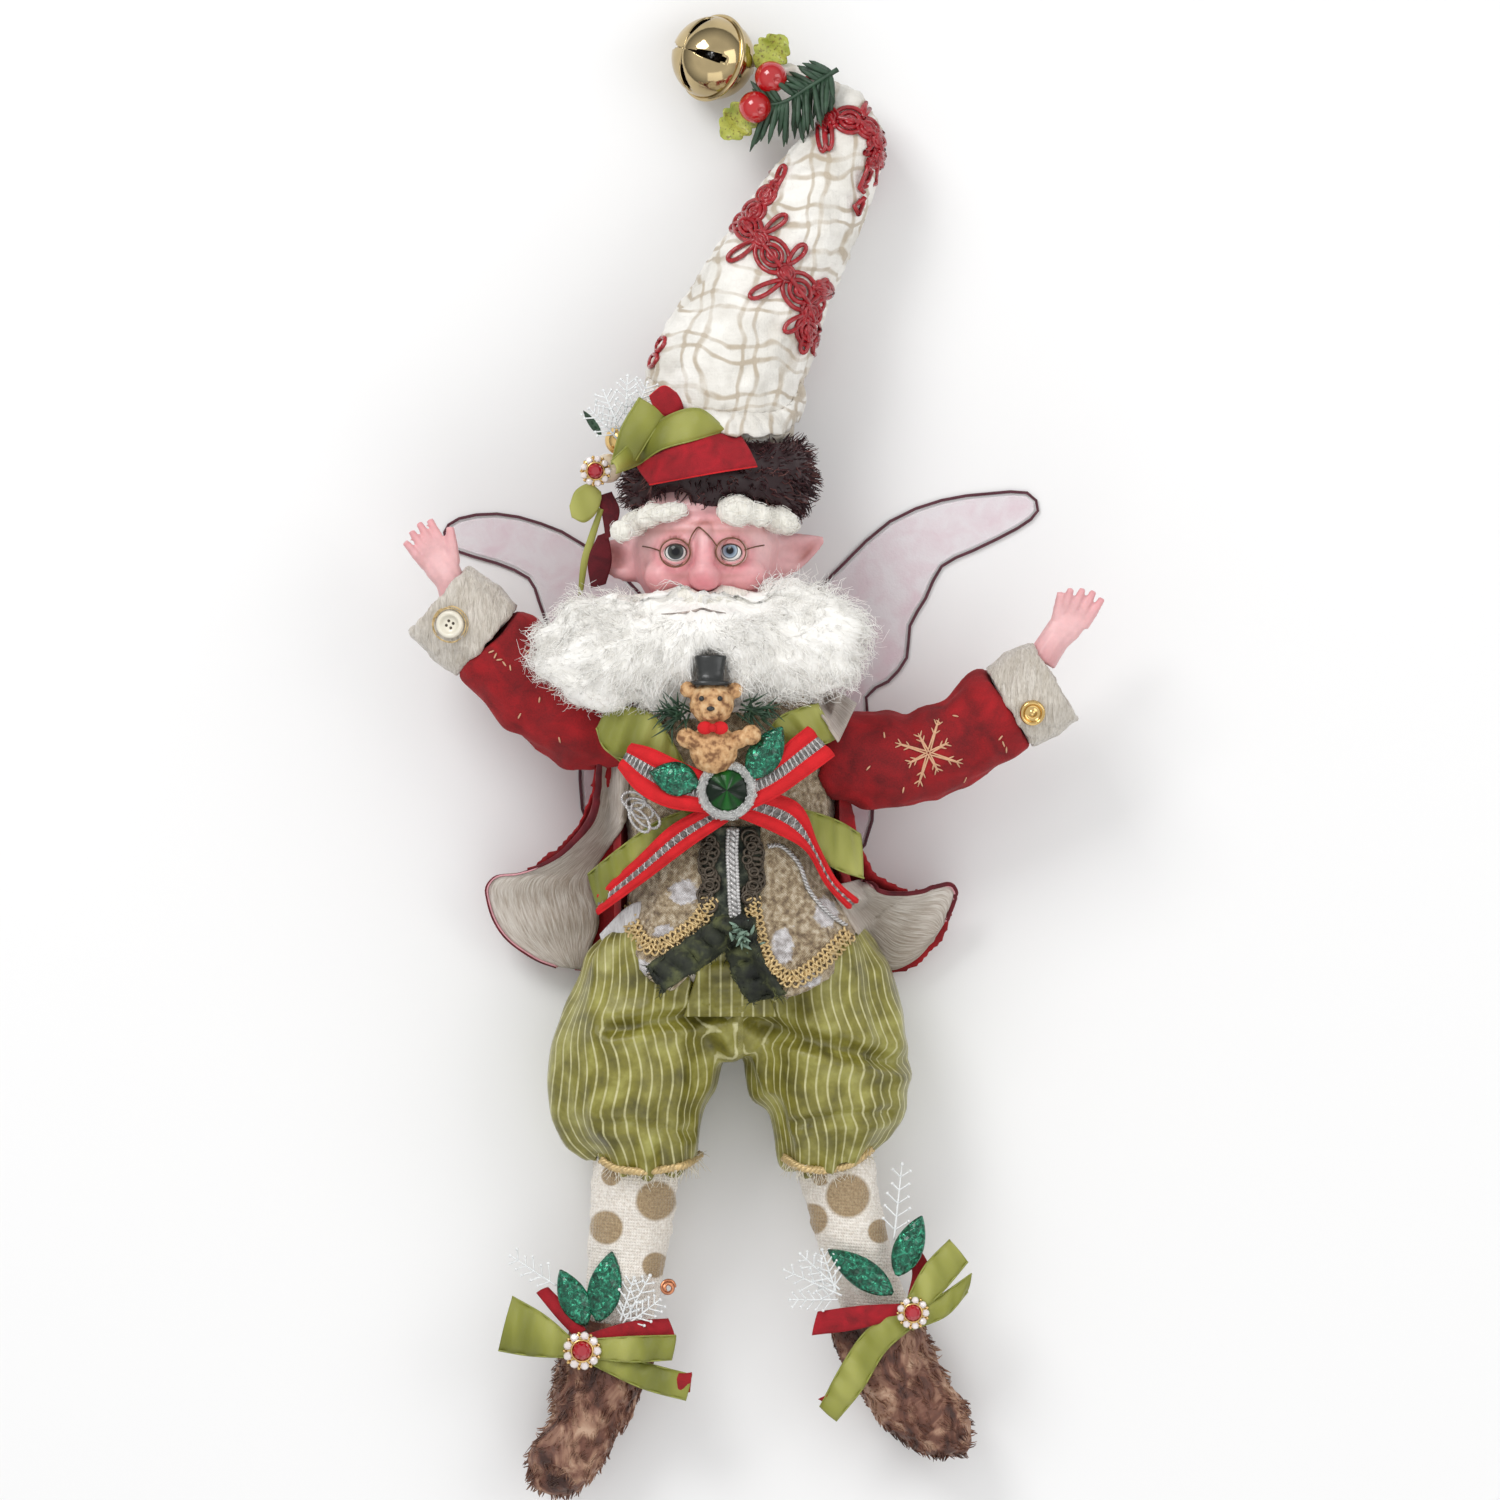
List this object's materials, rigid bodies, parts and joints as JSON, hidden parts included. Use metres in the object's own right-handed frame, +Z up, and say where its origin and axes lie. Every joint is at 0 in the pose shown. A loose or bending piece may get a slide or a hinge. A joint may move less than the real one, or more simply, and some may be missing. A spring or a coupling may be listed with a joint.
{
  "type": "fairy figurine",
  "caption": "A Christmas fairy figurine in a tall bent hat, red velvet coat, striped olive breeches and wire wings, lying on its back.",
  "frame": {"origin": "centre of the bounding box's bottom, on the table that the figure lies on", "axes": "+X towards the figure's own left, +Y from its feet to its hat, +Z up, out of its chest; it lies on its back"},
  "size_m": [0.1757, 0.3738, 0.0635],
  "materials": {
    "body_cloth": "undyed cotton cloth",
    "skin": "painted resin, matt skin tone",
    "glass_eye": "clear glass over a painted iris",
    "gold_wire": "thin gold-coloured wire",
    "white_fleece": "loose white fleece",
    "burgundy_fur": "dark burgundy plush fur",
    "plaid_cotton": "crumpled cream cotton with a thin beige plaid",
    "red_braid": "red satin gimp braid",
    "bell_metal": "polished pale brass",
    "steel": "plain steel",
    "holly_green": "yellow-green speckled leaf",
    "berry_red": "glossy red",
    "pine_green": "dark green needles",
    "red_velvet": "deep red velvet",
    "olive_satin": "olive satin with thin pale stripes on the breeches",
    "gold_bauble": "gold metallic coating",
    "red_crystal": "red faceted stone in a ring of clear ones",
    "green_crystal": "dark green faceted stone",
    "silver_foil": "silver glitter",
    "foil_leaf": "crumpled emerald foil",
    "stocking_knit": "cream knit with tan dots",
    "brown_plush": "crushed brown plush with tan streaks",
    "vest_brocade": "taupe brocade with silver patches and gold trim",
    "silver_braid": "dark and silver gimp",
    "coat_lining": "silky beige lining",
    "ivory_button": "ivory",
    "bear_resin": "painted resin, tan fur and a black hat",
    "wing_gauze": "sheer pinkish white gauze",
    "wing_wire": "dark purple-brown"
  },
  "bodies": {
    "root": {"torso": "body_cloth", "eye_right": "glass_eye", "eye_left": "glass_eye", "spectacles": "gold_wire", "head": "skin", "hair_right": "white_fleece", "hair_left": "white_fleece", "moustache": "white_fleece", "hat_fur_band": "burgundy_fur", "hat_cone": "plaid_cotton", "hat_braid": "red_braid", "jingle_bell": "bell_metal", "bell_pellet": "steel", "tip_holly_upper": "holly_green", "tip_holly_lower": "holly_green", "tip_berry_upper": "berry_red", "tip_berry_lower": "berry_red", "tip_pine_sprig": "pine_green", "leg_right": "stocking_knit", "leg_left": "stocking_knit", "boot_right": "brown_plush", "boot_left": "brown_plush", "breeches": "olive_satin", "vest": "vest_brocade", "front_braid": "silver_braid", "coat": "red_velvet", "coat_lining_right": "coat_lining", "coat_lining_left": "coat_lining", "sleeve_right": "red_velvet", "hand_right": "skin", "cuff_right": "coat_lining", "sleeve_left": "red_velvet", "hand_left": "skin", "cuff_left": "coat_lining", "cuff_button_right": "ivory_button", "cuff_button_left": "gold_bauble", "wing_wire_right": "wing_wire", "wing_film_right": "wing_gauze", "wing_wire_left": "wing_wire", "wing_film_left": "wing_gauze", "chest_bow_olive": "olive_satin", "chest_bow_red": "red_velvet", "chest_setting": "silver_foil", "chest_stone": "green_crystal", "chest_leaf_right": "foil_leaf", "chest_leaf_left": "foil_leaf", "teddy_bear": "bear_resin", "hat_ribbon_red": "red_velvet", "hat_ribbon_olive": "olive_satin", "hat_bauble_upper": "gold_bauble", "hat_bauble_lower": "gold_bauble", "hat_jewel": "red_crystal", "hat_streamer": "red_velvet", "beard": "white_fleece", "boot_bow_right": "olive_satin", "boot_jewel_right": "red_crystal", "boot_leaves_right": "foil_leaf", "boot_bow_left": "olive_satin", "boot_jewel_left": "red_crystal", "boot_leaves_left": "foil_leaf"}
  },
  "joints": []
}
